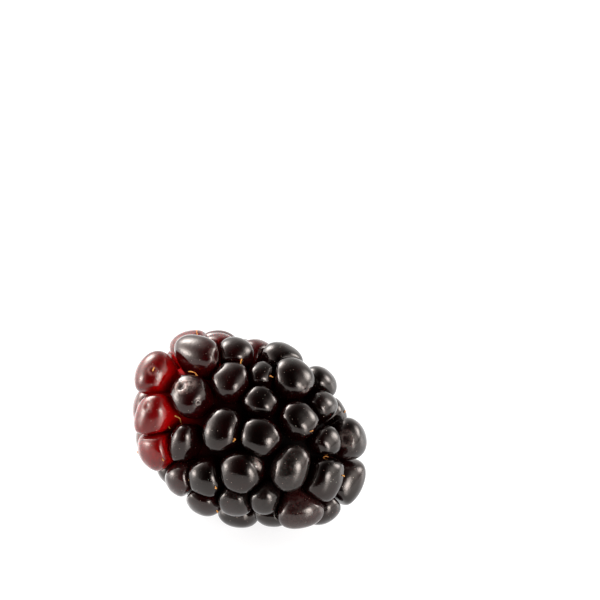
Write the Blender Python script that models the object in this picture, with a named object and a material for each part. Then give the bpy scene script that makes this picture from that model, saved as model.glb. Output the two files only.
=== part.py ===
"""A bramble berry, picked and lying on its side.

One closed solid: a ring of plump drupelets grown together over a pale receptacle.
Frame: metres, +Z up. The fruit's axis lies along X, its stem end at -X and its tip at +X,
with the tip a little lower. The origin is on the ground under the middle of the fruit.

A place on the fruit is given as latitude and longitude: latitude -90 is the stem end and
+90 the tip, longitude 0 is the top, 90 the front (-Y), 180 the underside and -90 the back.
"""

import math

import bmesh
import bpy
import numpy as np
from mathutils import Matrix, Vector

MM = 0.001

# The smooth shape that touches the drupelets, in millimetres
HALF_LENGTH = 14.6
HALF_WIDTH = 10.8
STEM_SQUARENESS = 2.5
TIP_SQUARENESS = 2.0
TAPER = 0.08

# How deep under it things sit, in millimetres
SEAT_DEPTH = 2.1
HIDDEN_SEAT_DEPTH = 3.1
FLESH_DEPTH = 3.0
FLESH_BLEND = 2.2
ROOT_DEPTH = 5.2

# How the fruit lies
TIP_DOWN_DEG = 8.5
REST_HEIGHT = 9.25
FLATTEN = 0.3
CENTRE_X = 0.3
CENTRE_Y = -0.7

# The side and back, where the drupelets are spread evenly
FACING = (35.0, 30.0)
FACING_LIMIT = -0.3
SPREAD_COUNT = 36
SPREAD_SIZE = 4.3
SCAR_CLEARANCE = 3.9
SPREAD_STEPS = 400

# How much wider a drupelet is than its size in the table, so that it meets its neighbours
PLUMPNESS = 1.05

SCAR_RADIUS = 2.3
SCAR_DEPTH = 1.6
SCAR_DISH = 0.5

SEGMENTS = 10
DOME_RINGS = 4
FLESH_COUNT = 18
FLESH_LATS = (-58, -46, -34, -22, -11, 0, 11, 22, 33, 44, 56, 70)

SKIN_COLOUR = (0.012, 0.005, 0.008, 1.0)
SKIN_ROUGHNESS = 0.28

# Latitude, longitude, how far it stands above its seat, size around the fruit and along it
DRUPELETS = [
    # stem end shoulder
    (-42, 44, 1.0, 5.0, 4.0),
    (-29, 71, 0.4, 6.0, 4.0),
    (-21, 92, 0.3, 5.2, 4.9),
    (-5, 105, 0.3, 4.7, 4.6),
    # along the top
    (-42, -1, -0.8, 4.4, 5.4),
    (-23, 16, 0.4, 3.8, 6.5),
    (-25, -9, -0.7, 3.8, 3.7),
    (-17, -32, -1.5, 4.2, 4.2),
    (-10, 1, 0.3, 4.0, 4.0),
    (-7, -24, -0.6, 4.0, 4.0),
    (5, -20, 0.4, 4.2, 5.0),
    # the rows behind the shoulder
    (-16, 45, -0.5, 4.9, 4.6),
    (-9, 81, -0.4, 5.4, 3.0),
    (5, 96, 0.3, 4.4, 4.3),
    (-3, 20, -0.4, 4.6, 4.3),
    (5, 57, -0.9, 5.3, 4.4),
    (22, 82, -0.4, 5.4, 5.1),
    (5, 3, -0.2, 3.6, 3.1),
    (14, 22, -0.6, 3.5, 4.1),
    (24, 48, -0.4, 4.1, 4.7),
    # towards the tip
    (18, -7, 0.8, 4.2, 4.9),
    (36, 14, -0.4, 3.8, 4.5),
    (47, 64, -0.4, 5.5, 4.0),
    (24, -35, 0.5, 4.5, 3.9),
    (37, -18, 0.1, 3.9, 3.2),
    (57, 5, -0.2, 3.3, 3.3),
    (71, 65, -0.3, 5.7, 4.1),
    (59, -46, 0.3, 4.6, 4.4),
    (71, -133, -0.1, 6.0, 4.3),
    # low on the front
    (4, 113, 0.8, 4.6, 4.0),
    (20, 107, 0.1, 4.5, 4.4),
    (36, 101, 0.3, 3.7, 3.3),
    (55, 116, 0.7, 4.0, 5.3),
    (15, 143, -0.1, 4.2, 4.6),
    (38, 130, -0.1, 3.8, 3.9),
    (63, 164, 0.4, 3.8, 4.3),
]


def clear_scene():
    for obj in list(bpy.data.objects):
        bpy.data.objects.remove(obj, do_unlink=True)


def seat(lat, lon, depth=SEAT_DEPTH):
    """A point at this depth under the smooth shape, lat and lon in degrees."""
    a, b = HALF_LENGTH - depth, HALF_WIDTH - depth
    s, c = math.sin(math.radians(lat)), math.cos(math.radians(lat))
    power = 2 / (STEM_SQUARENESS if s < 0 else TIP_SQUARENESS)
    x = math.copysign(a * abs(s) ** power, s)
    r = b * abs(c) ** power * (1 - TAPER * x / a)
    angle = math.radians(lon)
    return np.array([x, -r * math.sin(angle), r * math.cos(angle)])


def seat_frame(lat, lon):
    """Unit vectors there: round the fruit, along it towards the tip, and outward."""
    along = seat(min(lat + 0.5, 89.99), lon) - seat(max(lat - 0.5, -89.99), lon)
    along /= np.linalg.norm(along)
    angle = math.radians(lon)
    around = np.array([0.0, -math.cos(angle), -math.sin(angle)])
    outward = np.cross(around, along)
    outward /= np.linalg.norm(outward)
    return around, along, outward if outward @ seat(lat, lon) > 0 else -outward


def lat_lon(point, depth):
    """The latitude and longitude of the seat nearest to a point beside the surface."""
    a, b = HALF_LENGTH - depth, HALF_WIDTH - depth
    half_power = (STEM_SQUARENESS if point[0] < 0 else TIP_SQUARENESS) / 2
    width = b * (1 - TAPER * min(max(point[0] / a, -1), 1))
    lat = math.atan2((abs(point[0]) / a) ** half_power, (math.hypot(point[1], point[2]) / width) ** half_power)
    return math.degrees(math.copysign(lat, point[0])), math.degrees(math.atan2(-point[1], point[2]))


def lying():
    """Turns the fruit's own frame into the frame it lies in."""
    tilt = math.radians(TIP_DOWN_DEG)
    c, s = math.cos(tilt), math.sin(tilt)
    return np.array([[c, 0, s], [0, 1, 0], [-s, 0, c]])


def spread_rest(placed, sizes):
    """Seats for the drupelets of the far side: each pushes its neighbours until all are evenly apart."""
    azimuth, height = map(math.radians, FACING)
    facing = lying().T @ np.array(
        [math.sin(azimuth) * math.cos(height), -math.cos(azimuth) * math.cos(height), math.sin(height)]
    )
    turn = math.pi * (3 - math.sqrt(5))
    tries = [(math.degrees(math.asin(1 - 2 * (i + 0.5) / 400)), math.degrees(turn * i) % 360) for i in range(400)]
    tries = [t for t in tries if seat_frame(*t)[2] @ facing < FACING_LIMIT]
    spots = np.array([seat(*t, HIDDEN_SEAT_DEPTH) for t in tries])
    pole = seat(-90, 0, HIDDEN_SEAT_DEPTH)
    chosen, taken = [], list(placed)
    for _ in range(SPREAD_COUNT):
        gaps = np.linalg.norm(spots[:, None] - np.array(taken)[None], axis=2).min(axis=1)
        best = int(np.argmax(np.minimum(gaps, np.linalg.norm(spots - pole, axis=1) * 1.05)))
        chosen.append(spots[best])
        taken.append(spots[best])
    moving = np.array(chosen)
    wanted = (np.concatenate([sizes, np.full(SPREAD_COUNT, SPREAD_SIZE)]) + SPREAD_SIZE) / 2 * 1.08
    for _ in range(SPREAD_STEPS):
        everyone = np.concatenate([placed, moving])
        apart = moving[:, None] - everyone[None]
        gap = np.linalg.norm(apart, axis=2)
        gap[np.arange(SPREAD_COUNT), len(placed) + np.arange(SPREAD_COUNT)] = 1e9
        force = (apart / gap[..., None] * np.clip(wanted[None] - gap, 0, None)[..., None]).sum(axis=1)
        from_pole = moving - pole
        reach = np.linalg.norm(from_pole, axis=1)[:, None]
        force += from_pole / reach * np.clip(SCAR_CLEARANCE - reach, 0, None)
        moving = moving + 0.25 * force
        moving = np.array([seat(*lat_lon(point, HIDDEN_SEAT_DEPTH), HIDDEN_SEAT_DEPTH) for point in moving])
    return [lat_lon(point, HIDDEN_SEAT_DEPTH) for point in moving]


def layout():
    """All drupelets as (centre, around, along, outward, half sizes, root length), in millimetres."""
    found = []
    for lat, lon, lift, around_size, along_size in DRUPELETS:
        around, along, outward = seat_frame(lat, lon)
        half = (around_size / 2, along_size / 2, (around_size + along_size) / 4)
        root = ROOT_DEPTH - SEAT_DEPTH + lift
        found.append([seat(lat, lon) + outward * lift, around, along, outward, half, root])
    placed = np.array([d[0] for d in found])
    sizes = np.array([(d[3] + d[4]) / 2 for d in DRUPELETS])
    for lat, lon in spread_rest(placed, sizes):
        around, along, outward = seat_frame(lat, lon)
        half = (SPREAD_SIZE * 0.53, SPREAD_SIZE * 0.51, SPREAD_SIZE * 0.51)
        centre = seat(lat, lon, HIDDEN_SEAT_DEPTH)
        found.append([centre, around, along, outward, half, ROOT_DEPTH - HIDDEN_SEAT_DEPTH])
    turn = lying()
    for drupelet in found:
        drupelet[:4] = [turn @ v for v in drupelet[:4]]
        drupelet[4] = tuple(PLUMPNESS * h for h in drupelet[4])
        centre, axes, half = drupelet[0], drupelet[1:4], drupelet[4]
        reach = math.sqrt(sum((h * axis[2]) ** 2 for h, axis in zip(half, axes)))
        sunk = -REST_HEIGHT - FLATTEN - (centre[2] - reach)
        if drupelet[3][2] < 0 < sunk:
            centre[2] += sunk
        centre += np.array([-CENTRE_X, -CENTRE_Y, REST_HEIGHT])
    return found


def bullet_mesh(name, half, root):
    """A dome with a straight root under it, facing +Z."""
    bm = bmesh.new()
    rings = []
    heights = [-root] + [0.0] * DOME_RINGS
    for ring in range(DOME_RINGS + 1):
        rise = max(ring - 1, 0) / DOME_RINGS * math.pi / 2
        wide, up = math.cos(rise), math.sin(rise) * half[2]
        row = []
        for k in range(SEGMENTS):
            angle = 2 * math.pi * (k + 0.5 * (ring % 2)) / SEGMENTS
            row.append(bm.verts.new((half[0] * wide * math.cos(angle), half[1] * wide * math.sin(angle), heights[ring] + up)))
        rings.append(row)
    top = bm.verts.new((0, 0, half[2]))
    bm.faces.new(list(reversed(rings[0])))
    for ring, (low, high) in enumerate(zip(rings, rings[1:])):
        for k in range(SEGMENTS):
            j = (k + 1) % SEGMENTS
            if ring % 2 == 0:
                bm.faces.new((low[k], low[j], high[k]))
                bm.faces.new((low[j], high[j], high[k]))
            else:
                bm.faces.new((low[k], low[j], high[j]))
                bm.faces.new((low[k], high[j], high[k]))
    for k in range(SEGMENTS):
        bm.faces.new((rings[-1][k], rings[-1][(k + 1) % SEGMENTS], top))
    bmesh.ops.scale(bm, vec=(MM, MM, MM), verts=bm.verts)
    bmesh.ops.recalc_face_normals(bm, faces=bm.faces)
    mesh = bpy.data.meshes.new(name)
    bm.to_mesh(mesh)
    bm.free()
    mesh.shade_smooth()
    return mesh


def flesh_point(lat, lon, seats):
    """A point of the flesh between the drupelets: it rises and sinks with the ones round it."""
    point, outward = seat(lat, lon, FLESH_DEPTH), seat_frame(lat, lon)[2]
    weight = np.exp(-((np.linalg.norm(seats[:, :3] - point, axis=1) / FLESH_BLEND) ** 2) / 2) + 1e-6
    return point + outward * float((weight * seats[:, 3]).sum() / weight.sum())


def flesh_mesh(name, drupelets):
    """The core that the drupelets grow on, with the dished picking scar at the stem end."""
    turn = lying()
    shift = np.array([-CENTRE_X, -CENTRE_Y, REST_HEIGHT])
    seats = []
    for centre, _, _, outward, _, root in drupelets:
        lift = root - (ROOT_DEPTH - SEAT_DEPTH)
        seats.append([*(turn.T @ (centre - shift - outward * (FLESH_DEPTH - SEAT_DEPTH + lift))), lift])
    seats = np.array(seats)
    bm = bmesh.new()
    scar_x = seat(-90, 0, SCAR_DEPTH)[0]
    rim = [(scar_x + SCAR_DISH, SCAR_RADIUS * 0.45), (scar_x, SCAR_RADIUS * 0.85), (scar_x + 0.25, SCAR_RADIUS)]
    lons = [360 * k / FLESH_COUNT for k in range(FLESH_COUNT)]
    rows = [[np.array([x, -r * math.sin(math.radians(a)), r * math.cos(math.radians(a))]) for a in lons] for x, r in rim]
    rows += [[flesh_point(lat, lon, seats) for lon in lons] for lat in FLESH_LATS]
    ends = [np.array([scar_x + SCAR_DISH * 1.2, 0, 0]), flesh_point(89.9, 0, seats)]
    rows = [[bm.verts.new((turn @ point + shift) * MM) for point in row] for row in rows]
    ends = [bm.verts.new((turn @ point + shift) * MM) for point in ends]
    for low, high in zip(rows, rows[1:]):
        for k in range(FLESH_COUNT):
            j = (k + 1) % FLESH_COUNT
            bm.faces.new((low[k], low[j], high[j], high[k]))
    for k in range(FLESH_COUNT):
        j = (k + 1) % FLESH_COUNT
        bm.faces.new((rows[0][j], rows[0][k], ends[0]))
        bm.faces.new((rows[-1][k], rows[-1][j], ends[1]))
    bmesh.ops.triangulate(bm, faces=bm.faces)
    bmesh.ops.recalc_face_normals(bm, faces=bm.faces)
    mesh = bpy.data.meshes.new(name)
    bm.to_mesh(mesh)
    bm.free()
    mesh.shade_smooth()
    return mesh


def helper(name, mesh, collection):
    obj = bpy.data.objects.new(name, mesh)
    obj.hide_render = True
    obj.display_type = "WIRE"
    collection.objects.link(obj)
    return obj


def boolean(obj, name, operation):
    modifier = obj.modifiers.new(name, "BOOLEAN")
    modifier.operation = operation
    modifier.solver = "EXACT"
    return modifier


def skin_material():
    material = bpy.data.materials.new("ripe_skin")
    material.use_nodes = True
    shader = material.node_tree.nodes["Principled BSDF"]
    shader.inputs["Base Color"].default_value = SKIN_COLOUR
    shader.inputs["Roughness"].default_value = SKIN_ROUGHNESS
    shader.inputs["Metallic"].default_value = 0.0
    return material


def ground_block(collection):
    """A block under the ground plane, which flattens the drupelets that the fruit rests on."""
    bm = bmesh.new()
    bmesh.ops.create_cube(bm, size=1.0)
    bmesh.ops.scale(bm, vec=(60 * MM, 60 * MM, 10 * MM), verts=bm.verts)
    bmesh.ops.translate(bm, vec=(0, 0, -5 * MM), verts=bm.verts)
    mesh = bpy.data.meshes.new("ground_block")
    bm.to_mesh(mesh)
    bm.free()
    return helper("ground_block", mesh, collection)


def build():
    clear_scene()
    scene = bpy.context.scene
    helpers = bpy.data.collections.new("drupelets")
    scene.collection.children.link(helpers)
    drupelets = layout()
    for number, (centre, around, along, outward, half, root) in enumerate(drupelets):
        if np.cross(around, along) @ outward < 0:
            around = -around
        obj = helper(f"drupelet_{number:02d}", bullet_mesh(f"drupelet_{number:02d}", half, root), helpers)
        matrix = Matrix((around, along, outward)).transposed().to_4x4()
        matrix.translation = Vector(centre) * MM
        obj.matrix_world = matrix
    berry = bpy.data.objects.new("berry", flesh_mesh("berry", drupelets))
    scene.collection.objects.link(berry)
    grown = boolean(berry, "grown together", "UNION")
    grown.operand_type = "COLLECTION"
    grown.collection = helpers
    rested = boolean(berry, "resting flats", "DIFFERENCE")
    rested.object = ground_block(scene.collection)
    berry.data.materials.append(skin_material())


build()
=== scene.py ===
"""A picked bramble berry lying on its side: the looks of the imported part, in metres, +Z up.

Each drupelet is a mesh of its own: a soft dome on a root, pressed flat where it meets its
neighbours. A place on the fruit is a latitude and a longitude, as in the solid: latitude -90
is the stem end and +90 the tip, longitude 0 is the top, 90 the front, 180 the underside.
Lengths are in millimetres unless a comment says otherwise.
"""

import math

import bpy
import numpy as np
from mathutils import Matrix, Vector


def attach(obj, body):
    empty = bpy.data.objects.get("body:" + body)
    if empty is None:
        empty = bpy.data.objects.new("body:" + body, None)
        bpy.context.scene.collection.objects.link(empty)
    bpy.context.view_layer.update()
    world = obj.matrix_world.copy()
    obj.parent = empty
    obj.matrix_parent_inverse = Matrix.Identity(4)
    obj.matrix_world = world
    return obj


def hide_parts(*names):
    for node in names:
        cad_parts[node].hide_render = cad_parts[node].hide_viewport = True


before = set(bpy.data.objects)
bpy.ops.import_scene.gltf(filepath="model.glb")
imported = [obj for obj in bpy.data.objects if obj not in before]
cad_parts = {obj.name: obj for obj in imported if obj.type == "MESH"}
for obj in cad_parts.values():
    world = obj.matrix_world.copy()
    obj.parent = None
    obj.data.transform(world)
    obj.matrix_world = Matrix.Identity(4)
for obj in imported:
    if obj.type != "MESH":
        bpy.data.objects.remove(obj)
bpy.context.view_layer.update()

MM = 0.001

# The smooth shape that touches the drupelets, as in the solid
HALF_LENGTH = 14.6
HALF_WIDTH = 10.8
STEM_SQUARENESS = 2.5
TIP_SQUARENESS = 2.0
TAPER = 0.08

# How deep under it things are
SEAT_DEPTH = 2.1
HIDDEN_SEAT_DEPTH = 3.1
FLESH_DEPTH = 3.0
ROOT_DEPTH = 5.2

# How the fruit lies, and how far the drupelets it lies on are pressed flat
TIP_DOWN_DEG = 8.5
REST_HEIGHT = 9.25
CENTRE_X = 0.3
CENTRE_Y = -0.7
FLATTEN = 0.3

# The camera: azimuth and height in degrees, distance in metres, lens, and how far beside the
# fruit's middle it aims, in metres
FACING = (35.0, 30.0)
CAMERA_DISTANCE = 0.350
CAMERA_LENS = 184.8
AIM_RIGHT = 0.0059
AIM_UP = 0.0149

# Latitude, longitude, how far it stands above its seat, size around the fruit and along it, name
DRUPELETS = [
    (-42, 44, 1.0, 5.0, 4.0, "L1"),
    (-29, 71, 0.4, 6.0, 4.0, "L2"),
    (-21, 92, 0.3, 5.2, 4.9, "L3"),
    (-5, 105, 0.3, 4.7, 4.6, "L4"),
    (-42, -1, -0.8, 4.4, 5.4, "A1"),
    (-23, 16, 0.4, 3.8, 6.5, "A2"),
    (-25, -9, -0.7, 3.8, 3.7, "A1b"),
    (-17, -32, -1.5, 4.2, 4.2, "A2b"),
    (-10, 1, 0.3, 4.0, 4.0, "A3"),
    (-7, -24, -0.6, 4.0, 4.0, "A3b"),
    (5, -20, 0.4, 4.2, 5.0, "A4"),
    (-16, 45, -0.5, 4.9, 4.6, "C1"),
    (-9, 81, -0.4, 5.4, 3.0, "C2"),
    (5, 96, 0.3, 4.4, 4.3, "C3"),
    (-3, 20, -0.4, 4.6, 4.3, "D1"),
    (5, 57, -0.9, 5.3, 4.4, "D2"),
    (22, 82, -0.4, 5.4, 5.1, "D3"),
    (5, 3, -0.2, 3.6, 3.1, "E0"),
    (14, 22, -0.6, 3.5, 4.1, "E1"),
    (24, 48, -0.4, 4.1, 4.7, "E2"),
    (18, -7, 0.8, 4.2, 4.9, "F1"),
    (36, 14, -0.4, 3.8, 4.5, "F2"),
    (47, 64, -0.4, 5.5, 4.0, "F3"),
    (24, -35, 0.5, 4.5, 3.9, "G0"),
    (37, -18, 0.1, 3.9, 3.2, "G1"),
    (57, 5, -0.2, 3.3, 3.3, "G2"),
    (71, 65, -0.3, 5.7, 4.1, "G3"),
    (59, -46, 0.3, 4.6, 4.4, "H1"),
    (71, -133, -0.1, 6.0, 4.3, "H2"),
    (4, 113, 0.8, 4.6, 4.0, "B1"),
    (20, 107, 0.1, 4.5, 4.4, "B2"),
    (36, 101, 0.3, 3.7, 3.3, "B3"),
    (55, 116, 0.7, 4.0, 5.3, "B4"),
    (15, 143, -0.1, 4.2, 4.6, "B5"),
    (38, 130, -0.1, 3.8, 3.9, "B6"),
    (63, 164, 0.4, 3.8, 4.3, "B7"),
]

# The drupelets on the far side, as in the solid: how many, how wide, their half sizes as shares
# of that, and the most that a seat of theirs may face the camera
SPREAD_COUNT = 36
SPREAD_SIZE = 4.3
SPREAD_SHAPE = (0.53, 0.51, 0.51)
FACING_LIMIT = -0.3

# How they are spread: seats tried, rounds of pushing, room each wants, share of each push taken,
# and how clear of the stem scar they stay
SPREAD_TRIES = 400
SPREAD_STEPS = 400
SPREAD_ROOM = 1.08
SPREAD_PUSH = 0.25
SCAR_SHARE = 1.05
SCAR_CLEARANCE = 3.9

# The shape of one drupelet's skin
COARSE_STEPS = 30
FINE_STEPS = 56
GAP = 0.12
PLAN_POWER = 2.2
DOME_POWER = 2.2
DOME_HEIGHT = 0.92
BLEND_POWER = 7.5
SWELL = 1.125
ROOT_MORE = 0.4
NEIGHBOUR_REACH = 1.5

# Random unevenness, as its height, lowest and highest frequency and number of waves
SLOW_WAVES = (0.016, 1.5, 3.5, 6)
QUICK_WAVES = (0.005, 4, 9, 8)
MARK_EDGE_WAVES = (0.14, 10, 16, 6)
WRINKLE_WAVES = (0.022, 14, 24, 9)

# Marks on single drupelets: where (right and up across the view, in radii), radius and kind
MARKS = {
    "C1": [(-0.44, 0.46, 0.25, "crater"), (-0.12, 0.58, 0.24, "wrinkled"), (0.30, -0.26, 0.10, "dimple")],
    "A2": [(0.62, 0.12, 0.25, "hollow")],
    "D3": [(0.63, 0.28, 0.27, "ridge"), (0.60, 0.50, 0.20, "wrinkled")],
    "H1": [(-0.02, 0.04, 0.30, "hollow")],
    "L1": [(-0.12, 0.26, 0.18, "dimple")],
    "L2": [(-0.40, 0.42, 0.20, "dimple")],
    "F1": [(0.60, -0.35, 0.14, "dimple")],
}
ROUGH_MARKS = ("wrinkled", "crater", "ridge")

# The height of each kind of mark and its paleness, each on its rim, at its middle and all over it
MARK_KINDS = {
    "dimple": ((0.03, -0.08, 0.0), (0.30, 0.0, 0.0)),
    "hollow": ((0.07, 0.0, -0.22), (0.28, 0.0, 0.0)),
    "crater": ((0.09, -0.26, 0.0), (0.90, 0.0, 0.0)),
    "ridge": ((-0.10, 0.13, 0.0), (0.0, 1.80, 0.0)),
    "wrinkled": ((0.0, 0.0, 0.02), (0.0, 0.0, 0.70)),
}

# How ripe the drupelets are that aren't black: 0 is bright red and 1 is black
RIPENESS = {
    "L1": 0.36, "L2": 0.24, "L3": 0.22, "A1": 0.30, "A2": 0.80, "A1b": 0.40, "A2b": 0.70, "A3b": 0.60,
    "C1": 0.86, "L4": 0.82, "B4": 0.85, "B1": 0.92, "A3": 0.93, "C2": 0.93, "D1": 0.93,
}
RED_SKIN_BELOW = 0.6

# Flanks are redder and brighter than tops: partly real, as a drupelet ripens from its top, and partly
# painted glow standing in for light shining through the skin into the shaded grooves. By how much,
# up to which ripeness, and from which height above the middle, in half heights
FLANK_RIPENING_AND_GLOW = 0.60
FLANK_GLOW_BELOW = 1.12
FLANK_GLOW_FROM = 0.8

# Where the far side is red, as the middle and half sizes of a patch, and how ripe it is in the
# middle and how much riper at the patch's edge
RED_PLACE = np.array([-12.5, 0.5, 10.5])
RED_REACH = np.array([7.0, 11.0, 13.0])
FAR_RIPENESS = 0.30
FAR_RIPENING = 0.45

# How much pale bloom is left on the duller drupelets, from 0 to 1
BLOOM = {"F3": 0.04, "B4": 0.05, "B2": 0.02, "B3": 0.02, "L4": 0.02}

# The flesh between the drupelets: its first and last latitude, rings, points round each ring,
# how widely the drupelets' heights are blended in it, and how far it sinks
FLESH_FROM, FLESH_TO = -66, 88
FLESH_RINGS = 72
FLESH_SIDES = 96
FLESH_BLEND = 2.2
FLESH_DROP = 0.25

# The stem scar: its size, how far its hidden skirt goes in and widens, and the share of its rings
# that are on the dish, not on the skirt
SCAR_RADIUS = 2.3
SCAR_DEPTH = 1.6
SCAR_DISH = 0.5
SCAR_SKIRT = 3.2
SCAR_WIDENS = 0.10
SCAR_RINGS = 26
SCAR_SIDES = 72
SCAR_RIM = 0.8

# Its ragged rim as shares of the radius, waves round it and phases, its groove as depth, place and
# width, and the height of its waves and of its grain
SCAR_RAGGED = ((0.05, 3, 1), (0.03, 7, 0))
SCAR_GROOVE = (0.12, 0.72, 0.08)
SCAR_WAVES = 0.05
SCAR_GRAIN = 0.02

# Dried styles that show: where they stand, how far they reach across (right, up), in radii
STYLES = {
    "L1": [(-0.12, 0.26, 0.10, 0.16)],
    "A1": [(0.15, 0.75, 0.00, 0.30)],
    "A3": [(0.38, -0.10, -0.10, -0.28)],
    "E0": [(0.50, 0.15, 0.20, -0.10)],
    "L2": [(0.85, 0.05, 0.75, -0.40), (0.60, -0.55, 0.08, -0.10)],
    "L3": [(0.05, -0.45, 0.06, -0.10)],
    "L4": [(0.10, -0.20, 0.05, 0.14)],
    "C1": [(0.30, 0.93, -0.55, 0.02)],
    "C3": [(0.35, -0.48, -0.06, 0.20)],
    "B1": [(0.55, -0.75, 0.10, -0.20)],
    "D2": [(0.45, -0.30, -0.10, -0.16)],
    "F2": [(0.55, -0.45, 0.12, 0.08)],
    "G3": [(0.10, 0.93, 0.26, -0.14), (0.88, 0.10, 0.20, -0.06)],
}

# Every style: its radius, how deep it starts in the skin, its points, how much it curls, and the
# lowest it starts above the table. The far side has stubs: the share of drupelets with one, and
# its reach
STYLE_RADIUS = 0.085
STYLE_SUNK = 0.10
STYLE_POINTS = 10
STYLE_CURL = 0.04
LOWEST_STYLE = 0.8
HIDDEN_STYLES = 0.35
STUB_REACH = 0.35

# Colours by ripeness (skin and flesh), where the skin's flanks also carry painted glow, or by noise (the
# rest), and of specks and pale marks
SKIN_COLOURS = [
    (0.0, (0.26, 0.0010, 0.0014)),
    (0.22, (0.11, 0.0008, 0.0012)),
    (0.50, (0.045, 0.0006, 0.0010)),
    (0.78, (0.011, 0.0006, 0.0008)),
    (1.0, (0.0014, 0.0004, 0.0003)),
]
# The flesh's own red is painted brighter where the drupelets are red: painted glow of light shining through
# them into the shaded grooves
FLESH_AND_GLOW_COLOURS = [
    (0.0, (0.30, 0.0012, 0.0020)),
    (0.55, (0.27, 0.0012, 0.0020)),
    (0.75, (0.12, 0.0008, 0.0012)),
    (0.88, (0.02, 0.0008, 0.0012)),
    (1.0, (0.0015, 0.0005, 0.0004)),
]
SCAR_COLOURS = [(0.30, (0.17, 0.10, 0.04)), (0.46, (0.31, 0.26, 0.13)), (0.70, (0.38, 0.35, 0.22))]
STYLE_COLOURS = [(0.35, (0.42, 0.13, 0.02)), (0.65, (0.72, 0.34, 0.07))]
TABLE_COLOURS = [(0.3, (0.21, 0.22, 0.225)), (0.7, (0.23, 0.24, 0.245))]
SPECK_COLOUR = (0.42, 0.33, 0.27)
MARK_COLOUR = (0.58, 0.46, 0.42)
TABLE_GLOW = (0.86, 0.85, 0.85)

# Bumps: noise scale in features per millimetre, its detail, the bump's strength and its depth
SKIN_BUMPS = [(1.1, 2.0, 0.45, 0.05), (3.4, 3.0, 0.45, 0.018), (8.0, 3.0, 0.60, 0.013)]
FLESH_BUMPS = [(2.5, 5.0, 0.5, 0.06)]
SCAR_BUMPS = [(3.5, 6.0, 0.8, 0.12)]
STYLE_BUMPS = [(9.0, 2.0, 0.5, 0.02)]

# Each skin: the tint of its gloss, how much light goes through it, and how far; the flesh likewise
SKINS = {
    "ripe_skin": ((1.0, 0.91, 0.86, 1.0), 0.1, 0.5),
    "red_skin": ((1.0, 0.94, 0.88, 1.0), 0.8, 1.8),
}
FLESH_LIGHT = (0.7, 1.6)
RED_LIGHT_RADIUS = (1.0, 0.05, 0.05)
SKIN_IOR = 1.52
FLESH_GLOSS = 0.02

# The specks' spacing and size, how much they and the marks cover, and how much rougher marks are
SPECKS_PER_MM = 2.3
SPECK_SIZE = 0.11
SPECK_COVER = 0.8
SPECK_BUMP = (0.5, 0.012)
MARK_COVER = 0.60
MARK_ROUGHNESS = 0.15

# Soft lights round the room: azimuth in degrees (0 is behind the fruit and 90 on its right),
# height in degrees, tightness and strength
SOFT_LIGHTS = [
    (-77, 35, 36.0, 19.0),
    (-80, 32, 9.0, 4.8),
    (-129, 5, 60.0, 15.0),
    (-122, 4, 9.0, 5.0),
    (38, 22, 34.0, 14.0),
    (112, 3, 60.0, 9.0),
    (115, 18, 60.0, 19.0),
    (82, 24, 12.0, 2.9),
    (-10, 0, 5.0, 1.5),
]
LIGHT_COLOUR = (1.0, 0.97, 0.945)
ROOM_COLOUR = (0.006, 0.005, 0.005)

# The table in metres: half its side, and how far its top is under the fruit
TABLE_HALF = 1.2
TABLE_BELOW = 0.00002


# ---------------------------------------------------------------- where the drupelets are

def seat(lat, lon, depth=SEAT_DEPTH):
    """A point at this depth under the smooth shape, lat and lon in degrees."""
    a, b = HALF_LENGTH - depth, HALF_WIDTH - depth
    s, c = math.sin(math.radians(lat)), math.cos(math.radians(lat))
    power = 2 / (STEM_SQUARENESS if s < 0 else TIP_SQUARENESS)
    x = math.copysign(a * abs(s) ** power, s)
    r = b * abs(c) ** power * (1 - TAPER * x / a)
    angle = math.radians(lon)
    return np.array([x, -r * math.sin(angle), r * math.cos(angle)])


def seat_frame(lat, lon):
    """Unit vectors there: round the fruit, along it towards the tip, and outward."""
    along = seat(min(lat + 0.5, 89.99), lon) - seat(max(lat - 0.5, -89.99), lon)
    along /= np.linalg.norm(along)
    angle = math.radians(lon)
    around = np.array([0.0, -math.cos(angle), -math.sin(angle)])
    outward = np.cross(around, along)
    outward /= np.linalg.norm(outward)
    return around, along, outward if outward @ seat(lat, lon) > 0 else -outward


def lat_lon(point, depth):
    """The latitude and longitude of the seat nearest to a point beside the surface."""
    a, b = HALF_LENGTH - depth, HALF_WIDTH - depth
    half_power = (STEM_SQUARENESS if point[0] < 0 else TIP_SQUARENESS) / 2
    width = b * (1 - TAPER * min(max(point[0] / a, -1), 1))
    across = math.hypot(point[1], point[2]) / width
    lat = math.atan2((abs(point[0]) / a) ** half_power, across**half_power)
    return math.degrees(math.copysign(lat, point[0])), math.degrees(math.atan2(-point[1], point[2]))


def lying():
    """Turns the fruit's own frame into the frame it lies in."""
    tilt = math.radians(TIP_DOWN_DEG)
    c, s = math.cos(tilt), math.sin(tilt)
    return np.array([[c, 0, s], [0, 1, 0], [-s, 0, c]])


TURN = lying()
SHIFT = np.array([-CENTRE_X, -CENTRE_Y, REST_HEIGHT])


def view_axes():
    """The camera's right, up and backward directions."""
    azimuth, height = map(math.radians, FACING)
    back = np.array([
        math.sin(azimuth) * math.cos(height), -math.cos(azimuth) * math.cos(height), math.sin(height)
    ])
    right = np.array([math.cos(azimuth), math.sin(azimuth), 0.0])
    return right, np.cross(back, right), back


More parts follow.
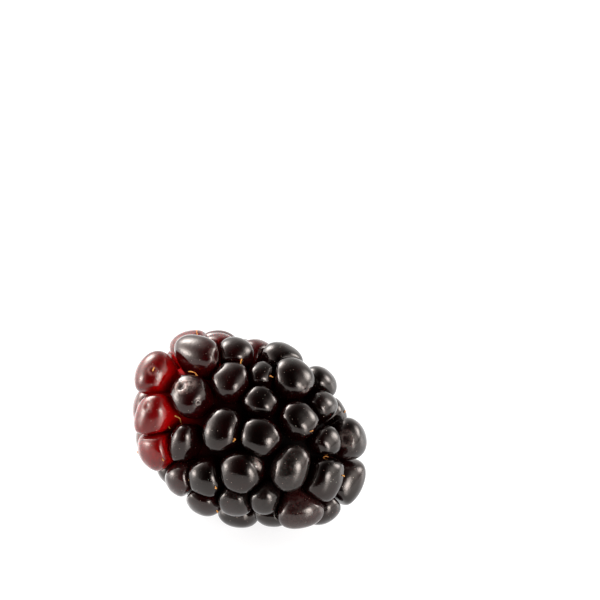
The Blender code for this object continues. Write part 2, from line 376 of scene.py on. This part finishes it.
def first_seats(placed):
    """Seats on the far side, each chosen as far as possible from those before it."""
    facing = TURN.T @ view_axes()[2]
    turn = math.pi * (3 - math.sqrt(5))
    tries = [
        (math.degrees(math.asin(1 - 2 * (i + 0.5) / SPREAD_TRIES)), math.degrees(turn * i) % 360)
        for i in range(SPREAD_TRIES)
    ]
    tries = [t for t in tries if seat_frame(*t)[2] @ facing < FACING_LIMIT]
    spots = np.array([seat(*t, HIDDEN_SEAT_DEPTH) for t in tries])
    from_scar = np.linalg.norm(spots - seat(-90, 0, HIDDEN_SEAT_DEPTH), axis=1) * SCAR_SHARE
    chosen, taken = [], list(placed)
    for _ in range(SPREAD_COUNT):
        gaps = np.linalg.norm(spots[:, None] - np.array(taken)[None], axis=2).min(axis=1)
        best = int(np.argmax(np.minimum(gaps, from_scar)))
        chosen.append(spots[best])
        taken.append(spots[best])
    return np.array(chosen)


def spread_rest(placed, sizes):
    """Seats for the far side's drupelets: each pushes its neighbours until all are evenly apart."""
    moving = first_seats(placed)
    scar_centre = seat(-90, 0, HIDDEN_SEAT_DEPTH)
    wanted = (np.concatenate([sizes, np.full(SPREAD_COUNT, SPREAD_SIZE)]) + SPREAD_SIZE) / 2 * SPREAD_ROOM
    own = np.arange(SPREAD_COUNT)
    for _ in range(SPREAD_STEPS):
        everyone = np.concatenate([placed, moving])
        apart = moving[:, None] - everyone[None]
        gap = np.linalg.norm(apart, axis=2)
        gap[own, len(placed) + own] = np.inf
        push = np.clip(wanted[None] - gap, 0, None)[..., None]
        force = (apart / gap[..., None] * push).sum(axis=1)
        from_scar = moving - scar_centre
        distance = np.linalg.norm(from_scar, axis=1)[:, None]
        force += from_scar / distance * np.clip(SCAR_CLEARANCE - distance, 0, None)
        moving = moving + SPREAD_PUSH * force
        moving = np.array([
            seat(*lat_lon(point, HIDDEN_SEAT_DEPTH), HIDDEN_SEAT_DEPTH) for point in moving
        ])
    return [lat_lon(point, HIDDEN_SEAT_DEPTH) for point in moving]


def own_drupelets():
    """The drupelets of the list, in the fruit's own frame."""
    found = []
    for lat, lon, lift, around_size, along_size, name in DRUPELETS:
        axes = seat_frame(lat, lon)
        found.append({
            "name": name, "centre": seat(lat, lon) + axes[2] * lift, "axes": axes,
            "half": (around_size / 2, along_size / 2, (around_size + along_size) / 4),
            "root": ROOT_DEPTH - SEAT_DEPTH + lift, "lift": lift,
            "ripeness": RIPENESS.get(name, 1.0),
        })
    return found


def far_drupelets(near):
    """The drupelets spread over the far side, in the fruit's own frame."""
    placed = np.array([d["centre"] for d in near])
    sizes = np.array([(row[3] + row[4]) / 2 for row in DRUPELETS])
    return [
        {
            "name": f"R{number:02d}", "centre": seat(*place, HIDDEN_SEAT_DEPTH),
            "axes": seat_frame(*place), "half": tuple(SPREAD_SIZE * share for share in SPREAD_SHAPE),
            "root": ROOT_DEPTH - HIDDEN_SEAT_DEPTH, "lift": SEAT_DEPTH - HIDDEN_SEAT_DEPTH,
        }
        for number, place in enumerate(spread_rest(placed, sizes))
    ]


def layout():
    """Every drupelet as it lies: name, centre, axes, half sizes, size, root, lift and ripeness."""
    near = own_drupelets()
    found = near + far_drupelets(near)
    for d in found:
        d["axes"] = [TURN @ axis for axis in d["axes"]]
        if np.cross(d["axes"][0], d["axes"][1]) @ d["axes"][2] < 0:
            d["axes"][0] = -d["axes"][0]
        d["centre"] = TURN @ d["centre"]
        reach = math.sqrt(sum((h * axis[2]) ** 2 for h, axis in zip(d["half"], d["axes"])))
        sunk = -REST_HEIGHT - FLATTEN - (d["centre"][2] - reach)
        if d["axes"][2][2] < 0 < sunk:
            d["centre"][2] += sunk
        d["centre"] = d["centre"] + SHIFT
        d["size"] = (d["half"][0] + d["half"][1]) / 2
        if "ripeness" not in d:
            from_red = np.linalg.norm((d["centre"] - RED_PLACE) / RED_REACH)
            d["ripeness"] = min(1.0, FAR_RIPENESS + FAR_RIPENING * from_red**2)
    return found


# ---------------------------------------------------------------- mesh helpers

def cube_sphere(steps):
    """Unit directions of a round cube, its quads, and where each corner lies on a 3 by 2 sheet."""
    faces = [
        ((1, 0, 0), (0, 1, 0), (0, 0, 1)), ((-1, 0, 0), (0, 1, 0), (0, 0, -1)),
        ((0, 1, 0), (0, 0, 1), (1, 0, 0)), ((0, -1, 0), (0, 0, 1), (-1, 0, 0)),
        ((0, 0, 1), (1, 0, 0), (0, 1, 0)), ((0, 0, -1), (1, 0, 0), (0, -1, 0)),
    ]
    ticks = np.tan(np.linspace(-math.pi / 4, math.pi / 4, steps + 1))
    found, points, quads, sheet = {}, [], [], []
    margin = 0.012
    for number, (right, up, out) in enumerate(faces):
        right, up, out = map(np.array, (right, up, out))
        grid = np.zeros((steps + 1, steps + 1), int)
        for i, s in enumerate(ticks):
            for j, t in enumerate(ticks):
                p = out + s * right + t * up
                key = tuple(np.round(p / np.abs(p).max(), 6))
                if key not in found:
                    found[key] = len(points)
                    points.append(p / np.linalg.norm(p))
                grid[i, j] = found[key]
        left, low = (number % 3) / 3, (number // 3) / 2
        for i in range(steps):
            for j in range(steps):
                quads.append((grid[i, j], grid[i + 1, j], grid[i + 1, j + 1], grid[i, j + 1]))
                for di, dj in ((0, 0), (1, 0), (1, 1), (0, 1)):
                    u, v = (i + di) / steps, (j + dj) / steps
                    sheet.append((
                        left + margin + u * (1 / 3 - 2 * margin), low + margin + v * (1 / 2 - 2 * margin)
                    ))
    return np.array(points), np.array(quads), np.array(sheet)


def ring_quads(rings, sides, flip=False):
    """Quads that join each ring of points to the next one."""
    quads = []
    for i in range(rings - 1):
        for k in range(sides):
            near, far = k, (k + 1) % sides
            if flip:
                near, far = far, near
            quads.append((i * sides + near, i * sides + far, (i + 1) * sides + far, (i + 1) * sides + near))
    return quads


def make_object(name, points, faces, material, sheet=None, **attributes):
    """A smooth mesh object in metres from points in millimetres, with named point attributes."""
    mesh = bpy.data.meshes.new(name)
    mesh.from_pydata((np.asarray(points) * MM).tolist(), [], [tuple(map(int, f)) for f in faces])
    mesh.validate()
    for key, values in attributes.items():
        mesh.attributes.new(key, "FLOAT", "POINT").data.foreach_set("value", np.asarray(values, np.float32))
    if sheet is not None:
        layer = mesh.uv_layers.new(name="OFBake")
        layer.data.foreach_set("uv", np.asarray(sheet, np.float32).ravel())
    mesh.shade_smooth()
    mesh.materials.append(material)
    obj = bpy.data.objects.new(name, mesh)
    bpy.context.scene.collection.objects.link(obj)
    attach(obj, "root")
    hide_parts("berry")
    return obj


def ripples(directions, rng, height, lowest, highest, count):
    """A smooth random field over directions: a sum of slow waves, about as high as the height."""
    total = np.zeros(len(directions))
    for _ in range(count):
        wave = rng.normal(size=3)
        wave *= rng.uniform(lowest, highest) / np.linalg.norm(wave)
        total += np.sin(directions @ wave + rng.uniform(0, 2 * math.pi))
    return height * (total / math.sqrt(count))


# ---------------------------------------------------------------- drupelets

def style_direction(rng):
    """Where the dried style stood on a drupelet, as a unit vector in its own axes."""
    lean, angle = rng.uniform(0.1, 0.75), rng.uniform(0, 2 * math.pi)
    v = np.array([lean * math.cos(angle), lean * math.sin(angle) + 0.15, 1.0])
    return v / np.linalg.norm(v)


def toward_view(d, right, up):
    """The direction from a drupelet's centre to a place on the side that faces the camera."""
    r, u, b = view_axes()
    depth = math.sqrt(max(1 - right**2 - up**2, 0.05))
    v = r * right + u * up + b * depth
    v = np.array([v @ axis for axis in d["axes"]])
    return v / np.linalg.norm(v)


def drupelet_radius(d, others, directions):
    """How far the skin is from the centre in these directions, which are in the drupelet's axes."""
    a, b, h = (SWELL * x for x in d["half"])
    x, y, z = np.abs(directions.T)
    height = np.where(directions[:, 2] > 0, h * DOME_HEIGHT, d["root"] + ROOT_MORE)
    plan = ((x / a) ** PLAN_POWER + (y / b) ** PLAN_POWER) ** (1 / PLAN_POWER)
    inverse = (plan**DOME_POWER + (z / height) ** DOME_POWER) ** (1 / DOME_POWER)
    total = inverse**BLEND_POWER
    world = directions @ np.array(d["axes"])
    for o in others:
        toward = o["centre"] - d["centre"]
        distance = np.linalg.norm(toward)
        if o is d or distance > NEIGHBOUR_REACH * SWELL * (d["size"] + o["size"]):
            continue
        wall = distance * d["size"] / (d["size"] + o["size"]) - GAP / 2
        facing = np.clip(world @ (toward / distance), 0, None)
        total = total + (facing / wall) ** BLEND_POWER
    return total ** (-1 / BLEND_POWER)


def mark_surface(kind, offset):
    """The height and the paleness of one mark, from distance over its radius."""
    rim = np.exp(-(((offset - 1.0) / 0.40) ** 2))
    middle, over = np.exp(-((offset / 0.55) ** 2)), np.exp(-(offset**2))
    return [a * rim + b * middle + c * over for a, b, c in MARK_KINDS[kind]]


def drupelet(number, d, others, unit_sphere, material):
    """One drupelet's skin, its dents and marks, and the ripeness of each point of it, with painted glow on
    its flanks.
    """
    rng = np.random.default_rng(100 + number)
    unit, quads, sheet = unit_sphere
    radius = drupelet_radius(d, others, unit)
    radius = radius * (1 + ripples(unit, rng, *SLOW_WAVES) + ripples(unit, rng, *QUICK_WAVES))
    pale = np.full(len(unit), BLOOM.get(d["name"], 0.0))
    for right, up, size, kind in MARKS.get(d["name"], []):
        offset = np.linalg.norm(unit - toward_view(d, right, up), axis=1) / size
        if kind in ROUGH_MARKS:
            offset = offset + ripples(unit, rng, *MARK_EDGE_WAVES)
            radius = radius + ripples(unit, rng, *WRINKLE_WAVES) * np.exp(-(offset**2))
        height, paleness = mark_surface(kind, offset)
        radius = radius + height
        pale = pale + paleness
    local = unit * radius[:, None]
    points = d["centre"] + local @ np.array(d["axes"])
    points[:, 2] = np.maximum(points[:, 2], 0.0)
    # Painted glow: the flanks get a lower ripeness, so they are redder and brighter. This is partly real
    # ripening and partly a stand-in for light shining through the skin
    flank_ripening_and_glow_mask = np.clip(FLANK_GLOW_FROM - local[:, 2] / d["half"][2], 0, 1)
    ripe = d["ripeness"] - FLANK_RIPENING_AND_GLOW * (FLANK_GLOW_BELOW - d["ripeness"]) * flank_ripening_and_glow_mask * flank_ripening_and_glow_mask * (3 - 2 * flank_ripening_and_glow_mask)
    return make_object(
        f"drupelet_{number:02d}", points, quads, material, sheet=sheet,
        ripeness=ripe, pale=np.clip(pale, 0, 1),
    )


# ---------------------------------------------------------------- flesh between and the scar

def flesh_point(lat, lon, seats):
    """A point of the flesh between the drupelets: it rises and sinks with the ones round it."""
    point, outward = seat(lat, lon, FLESH_DEPTH), seat_frame(lat, lon)[2]
    weight = np.exp(-((np.linalg.norm(seats[:, :3] - point, axis=1) / FLESH_BLEND) ** 2) / 2) + 1e-6
    lift = float((weight * seats[:, 3]).sum() / weight.sum())
    return point + outward * (lift - FLESH_DROP), float((weight * seats[:, 4]).sum() / weight.sum())


def flesh(drupelets, material):
    """The closed skin of flesh under the drupelets, which shows in the grooves between them."""
    seats = []
    for d in drupelets:
        at_flesh = d["centre"] - SHIFT - d["axes"][2] * (FLESH_DEPTH - SEAT_DEPTH + d["lift"])
        seats.append([*(TURN.T @ at_flesh), d["lift"], d["ripeness"]])
    seats = np.array(seats)
    points, ripe = [], []
    for lat in np.linspace(FLESH_FROM, FLESH_TO, FLESH_RINGS):
        for k in range(FLESH_SIDES):
            point, ripeness = flesh_point(lat, 360 * k / FLESH_SIDES, seats)
            points.append(TURN @ point + SHIFT)
            ripe.append(ripeness)
    faces = ring_quads(FLESH_RINGS, FLESH_SIDES)
    first, last = len(points), len(points) + 1
    points.append(TURN @ seat(FLESH_FROM, 0, FLESH_DEPTH) * np.array([1, 0, 0]) + SHIFT)
    points.append(TURN @ flesh_point(89.9, 0, seats)[0] + SHIFT)
    ripe += [1.0, 1.0]
    top = (FLESH_RINGS - 1) * FLESH_SIDES
    for k in range(FLESH_SIDES):
        j = (k + 1) % FLESH_SIDES
        faces += [(j, k, first), (top + k, top + j, last)]
    return make_object("flesh", points, faces, material, ripeness=ripe)


def scar(material):
    """The round dished patch where the stalk came off, with a ragged rim."""
    rng = np.random.default_rng(7)
    start = seat(-90, 0, SCAR_DEPTH)[0]
    groove_depth, groove_place, groove_width = SCAR_GROOVE
    points = []
    for i in range(SCAR_RINGS):
        t = i / (SCAR_RINGS - 1)
        for k in range(SCAR_SIDES):
            angle = 2 * math.pi * k / SCAR_SIDES
            if t < SCAR_RIM:
                r = SCAR_RADIUS * t / SCAR_RIM
                groove = groove_depth * math.exp(-(((t - groove_place) / groove_width) ** 2))
                x = start + SCAR_DISH * (1 - (r / SCAR_RADIUS) ** 2) - groove
                x += SCAR_WAVES * math.sin(9 * angle + 5 * t) * t + SCAR_GRAIN * rng.normal()
            else:
                beyond = (t - SCAR_RIM) / (1 - SCAR_RIM)
                r = SCAR_RADIUS * (1 + SCAR_WIDENS * beyond)
                x = start + SCAR_SKIRT * beyond**1.2
            r *= 1 + sum(share * math.sin(waves * angle + phase) for share, waves, phase in SCAR_RAGGED)
            points.append(TURN @ np.array([x, -r * math.sin(angle), r * math.cos(angle)]) + SHIFT)
    # The first ring is a single point, so the second one closes the dish instead
    points = points[SCAR_SIDES:]
    rings = SCAR_RINGS - 1
    faces = ring_quads(rings, SCAR_SIDES, flip=True) + [tuple(range(SCAR_SIDES))]
    faces.append(tuple((rings - 1) * SCAR_SIDES + k for k in reversed(range(SCAR_SIDES))))
    return make_object("stem_scar", points, faces, material)


# ---------------------------------------------------------------- dried styles

def tube(path, radii, sides=7):
    """Points and faces of a closed tube along a path."""
    points = []
    side = np.array([0.3, 0.5, 0.81])
    for i, p in enumerate(path):
        ahead = path[min(i + 1, len(path) - 1)] - path[max(i - 1, 0)]
        ahead /= np.linalg.norm(ahead)
        side = side - ahead * (side @ ahead)
        side /= np.linalg.norm(side)
        other = np.cross(ahead, side)
        for k in range(sides):
            angle = 2 * math.pi * k / sides
            points.append(p + radii[i] * (side * math.cos(angle) + other * math.sin(angle)))
    faces = ring_quads(len(path), sides)
    faces.append(tuple(reversed(range(sides))))
    faces.append(tuple((len(path) - 1) * sides + k for k in range(sides)))
    return points, faces


def thread(start, outward, reach, curl):
    """Points and faces of one dried style that bows from its start and reaches to one side."""
    sideways = reach - outward * (reach @ outward)
    length = np.linalg.norm(reach)
    end = start + sideways + outward * (0.18 + 0.10 * length)
    bow = start + outward * (0.30 + 0.25 * length) + 0.35 * sideways
    steps = np.linspace(0, 1, STYLE_POINTS)
    path = [
        start * (1 - t) ** 2 + (2 * t * (1 - t)) * bow + t * t * end + curl * math.sin(3 * math.pi * t)
        for t in steps
    ]
    return tube(path, [STYLE_RADIUS * (1 - 0.45 * t + 0.12 * math.sin(9 * t)) for t in steps])


def styles(drupelets, material):
    """The dried brown threads, joined in one mesh: those that show, and short stubs elsewhere."""
    rng = np.random.default_rng(11)
    right, up, _ = view_axes()
    points, faces = [], []
    for number, d in enumerate(drupelets):
        threads = [
            (toward_view(d, x, y), (right * across + up * rise) * d["half"][1])
            for x, y, across, rise in STYLES.get(d["name"], [])
        ]
        if number >= len(DRUPELETS) and rng.random() < HIDDEN_STYLES:
            threads.append((style_direction(rng), rng.normal(size=3) * STUB_REACH))
        for direction, reach in threads:
            outward = direction @ np.array(d["axes"])
            start = d["centre"] + outward * (drupelet_radius(d, drupelets, direction[None])[0] - STYLE_SUNK)
            if start[2] < LOWEST_STYLE:
                continue
            more, joined = thread(start, outward, reach, rng.normal(size=3) * STYLE_CURL)
            faces += [tuple(len(points) + v for v in f) for f in joined]
            points += more
    return make_object("dried_styles", points, faces, material)


# ---------------------------------------------------------------- nodes

def new_material(name):
    """A material, its node tree and its shader."""
    material = bpy.data.materials.new(name)
    material.use_nodes = True
    tree = material.node_tree
    return material, tree, tree.nodes["Principled BSDF"]


def node(tree, kind, **settings):
    """A node with its inputs or properties set by name."""
    made = tree.nodes.new(kind)
    for key, value in settings.items():
        if key in made.inputs:
            made.inputs[key].default_value = value
        else:
            setattr(made, key, value)
    return made


def plug(tree, socket, value):
    """Links an output to a socket, or sets the socket to a plain value."""
    if hasattr(value, "is_linked"):
        tree.links.new(value, socket)
    else:
        socket.default_value = value


def noise(tree, scale, detail=4.0):
    """Noise over the fruit, its scale in features per millimetre."""
    where = node(tree, "ShaderNodeTexCoord")
    made = node(tree, "ShaderNodeTexNoise", Scale=scale / MM, Detail=detail, Roughness=0.55)
    tree.links.new(where.outputs["Object"], made.inputs["Vector"])
    return made.outputs["Fac"]


def specks(tree, scale, size):
    """Small round specks: 1 in a speck and 0 between."""
    where = node(tree, "ShaderNodeTexCoord")
    cells = node(tree, "ShaderNodeTexVoronoi", Scale=scale / MM, Randomness=1.0)
    tree.links.new(where.outputs["Object"], cells.inputs["Vector"])
    return remap(tree, cells.outputs["Distance"], size, size * 0.4, 0.0, 1.0)


def remap(tree, value, low, high, to_low, to_high):
    """A value moved from one range to another and kept inside it."""
    made = node(tree, "ShaderNodeMapRange", clamp=True)
    tree.links.new(value, made.inputs["Value"])
    for key, number in zip(("From Min", "From Max", "To Min", "To Max"), (low, high, to_low, to_high)):
        made.inputs[key].default_value = number
    return made.outputs["Result"]


def ramp(tree, value, stops):
    """A colour by value, from (place, colour) stops."""
    made = node(tree, "ShaderNodeValToRGB")
    elements = made.color_ramp.elements
    while len(elements) < len(stops):
        elements.new(0.5)
    for element, (place, colour) in zip(elements, stops):
        element.position = place
        element.color = (*colour, 1.0)
    tree.links.new(value, made.inputs["Fac"])
    return made.outputs["Color"]


def mix(tree, factor, under, over):
    """One colour laid over another by a factor."""
    made = node(tree, "ShaderNodeMix", data_type="RGBA")
    plug(tree, made.inputs["Factor"], factor)
    plug(tree, made.inputs[6], under)
    plug(tree, made.inputs[7], (*over, 1.0))
    return made.outputs[2]


def maths(tree, operation, *values):
    """The result of a Math node."""
    made = node(tree, "ShaderNodeMath", operation=operation)
    for socket, value in zip(made.inputs, values):
        plug(tree, socket, value)
    return made.outputs["Value"]


def attribute(tree, name):
    """A point attribute's value."""
    return node(tree, "ShaderNodeAttribute", attribute_name=name).outputs["Fac"]


def bump(tree, shader, layers):
    """Chains bumps of (height, strength, depth in mm) into the shader's normal."""
    last = None
    for height, strength, depth in layers:
        made = node(tree, "ShaderNodeBump", Strength=strength, Distance=depth * MM)
        tree.links.new(height, made.inputs["Height"])
        if last is not None:
            tree.links.new(last, made.inputs["Normal"])
        last = made.outputs["Normal"]
    tree.links.new(last, shader.inputs["Normal"])


def noise_bumps(tree, bumps):
    """Layers for bump, each with a noise of its own."""
    return [(noise(tree, scale, detail), strength, depth) for scale, detail, strength, depth in bumps]


def let_light_through(shader, weight, distance):
    """Lets red light go this far in millimetres under the surface."""
    shader.inputs["Subsurface Weight"].default_value = weight
    shader.inputs["Subsurface Radius"].default_value = RED_LIGHT_RADIUS
    shader.inputs["Subsurface Scale"].default_value = distance * MM


# ---------------------------------------------------------------- materials

def skin_material(name):
    """Thin glossy skin, from bright red through purple to black by how ripe the drupelet is and by the
    painted glow on its flanks.
    """
    tint, through, distance = SKINS[name]
    material, tree, shader = new_material(name)
    patches = remap(tree, noise(tree, 0.35, 3.0), 0.3, 0.7, -0.08, 0.05)
    colour = ramp(tree, maths(tree, "ADD", attribute(tree, "ripeness"), patches), SKIN_COLOURS)
    uneven = remap(tree, noise(tree, 1.5, 2.0), 0.36, 0.58, 0.0, SPECK_COVER)
    dots = maths(tree, "MULTIPLY", specks(tree, SPECKS_PER_MM, SPECK_SIZE), uneven)
    colour = mix(tree, dots, colour, SPECK_COLOUR)
    mottle = remap(tree, noise(tree, 2.6, 5.0), 0.35, 0.62, 0.15, 1.0)
    marks = maths(tree, "MULTIPLY", attribute(tree, "pale"), mottle)
    colour = mix(tree, maths(tree, "MULTIPLY", marks, MARK_COVER), colour, MARK_COLOUR)
    tree.links.new(colour, shader.inputs["Base Color"])
    rough = remap(tree, noise(tree, 1.1), 0.3, 0.7, 0.06, 0.12)
    rough = maths(tree, "ADD", rough, maths(tree, "MULTIPLY", marks, MARK_ROUGHNESS))
    tree.links.new(rough, shader.inputs["Roughness"])
    shader.inputs["IOR"].default_value = SKIN_IOR
    shader.inputs["Specular Tint"].default_value = tint
    let_light_through(shader, through, distance)
    bump(tree, shader, noise_bumps(tree, SKIN_BUMPS) + [(dots, *SPECK_BUMP)])
    return material


def flesh_material():
    """The wet flesh deep between the drupelets, red where they are red, with painted glow brightening that
    red in the shaded grooves.
    """
    material, tree, shader = new_material("flesh_between")
    tree.links.new(ramp(tree, attribute(tree, "ripeness"), FLESH_AND_GLOW_COLOURS), shader.inputs["Base Color"])
    tree.links.new(remap(tree, noise(tree, 2.0), 0.3, 0.7, 0.45, 0.65), shader.inputs["Roughness"])
    shader.inputs["Specular IOR Level"].default_value = FLESH_GLOSS
    let_light_through(shader, *FLESH_LIGHT)
    bump(tree, shader, noise_bumps(tree, FLESH_BUMPS))
    return material


def scar_material():
    """Pale fibrous receptacle where the stalk broke off."""
    material, tree, shader = new_material("stem_scar")
    tree.links.new(ramp(tree, noise(tree, 1.6, 6.0), SCAR_COLOURS), shader.inputs["Base Color"])
    tree.links.new(remap(tree, noise(tree, 3.0), 0.3, 0.7, 0.5, 0.8), shader.inputs["Roughness"])
    bump(tree, shader, noise_bumps(tree, SCAR_BUMPS))
    return material


def style_material():
    """Dried threads, orange-brown."""
    material, tree, shader = new_material("dried_style")
    tree.links.new(ramp(tree, noise(tree, 3.0, 3.0), STYLE_COLOURS), shader.inputs["Base Color"])
    tree.links.new(remap(tree, noise(tree, 5.0), 0.3, 0.7, 0.45, 0.7), shader.inputs["Roughness"])
    bump(tree, shader, noise_bumps(tree, STYLE_BUMPS))
    return material


def table_material():
    """A white table that is lit a little from under its top, as a light table."""
    material, tree, shader = new_material("white_table")
    tree.links.new(ramp(tree, noise(tree, 0.02, 2.0), TABLE_COLOURS), shader.inputs["Base Color"])
    shader.inputs["Roughness"].default_value = 0.25
    shader.inputs["Emission Color"].default_value = (*TABLE_GLOW, 1.0)
    shader.inputs["Emission Strength"].default_value = 1.0
    return material


# ---------------------------------------------------------------- studio

def soft_light(tree, direction, azimuth, height, tightness, strength):
    """One soft patch of light in the room, which fades outward from its middle."""
    azimuth, height = math.radians(azimuth), math.radians(height)
    facing = node(tree, "ShaderNodeVectorMath", operation="DOT_PRODUCT")
    tree.links.new(direction, facing.inputs[0])
    facing.inputs[1].default_value = (
        math.sin(azimuth) * math.cos(height), math.cos(azimuth) * math.cos(height), math.sin(height)
    )
    fall = maths(tree, "MULTIPLY", maths(tree, "SUBTRACT", facing.outputs["Value"], 1.0), tightness)
    patch = node(tree, "ShaderNodeVectorMath", operation="SCALE")
    patch.inputs[0].default_value = [strength * c for c in LIGHT_COLOUR]
    tree.links.new(maths(tree, "EXPONENT", fall), patch.inputs["Scale"])
    return patch.outputs["Vector"]


def soft_world():
    """A dark room with the soft lights in it."""
    world = bpy.data.worlds.new("studio")
    world.use_nodes = True
    tree = world.node_tree
    direction = node(tree, "ShaderNodeTexCoord").outputs["Generated"]
    total = ROOM_COLOUR
    for light in SOFT_LIGHTS:
        added = node(tree, "ShaderNodeVectorMath", operation="ADD")
        tree.links.new(soft_light(tree, direction, *light), added.inputs[0])
        plug(tree, added.inputs[1], total)
        total = added.outputs["Vector"]
    tree.links.new(total, tree.nodes["Background"].inputs["Color"])
    return world


def studio():
    """The table and the soft light round it."""
    scene = bpy.context.scene
    mesh = bpy.data.meshes.new("table")
    corners = [(x * TABLE_HALF, y * TABLE_HALF, 0) for x, y in ((-1, -1), (1, -1), (1, 1), (-1, 1))]
    mesh.from_pydata(corners, [], [(0, 1, 2, 3)])
    mesh.materials.append(table_material())
    table = bpy.data.objects.new("table", mesh)
    table.location.z = -TABLE_BELOW
    scene.collection.objects.link(table)
    scene.world = soft_world()


def camera():
    """The camera, with plain colour handling."""
    scene = bpy.context.scene
    right, up, back = (Vector(v) for v in view_axes())
    data = bpy.data.cameras.new("camera")
    data.sensor_width = 36.0
    data.lens = CAMERA_LENS
    data.clip_start, data.clip_end = 0.01, 10.0
    obj = bpy.data.objects.new("camera", data)
    obj.location = Vector(SHIFT * MM) + right * AIM_RIGHT + up * AIM_UP + back * CAMERA_DISTANCE
    obj.rotation_mode = "QUATERNION"
    obj.rotation_quaternion = back.to_track_quat("Z", "Y")
    scene.collection.objects.link(obj)
    scene.camera = obj
    scene.view_settings.view_transform = "Standard"
    scene.view_settings.look = "None"
    scene.view_settings.exposure = 0.0


# ---------------------------------------------------------------- putting it together

def main():
    """Builds the fruit, the studio and the camera."""
    drupelets = layout()
    coarse, fine = cube_sphere(COARSE_STEPS), cube_sphere(FINE_STEPS)
    ripe, red = skin_material("ripe_skin"), skin_material("red_skin")
    for number, d in enumerate(drupelets):
        unit_sphere = fine if d["name"] in MARKS else coarse
        drupelet(number, d, drupelets, unit_sphere, red if d["ripeness"] < RED_SKIN_BELOW else ripe)
    flesh(drupelets, flesh_material())
    scar(scar_material())
    styles(drupelets, style_material())
    studio()
    camera()


main()
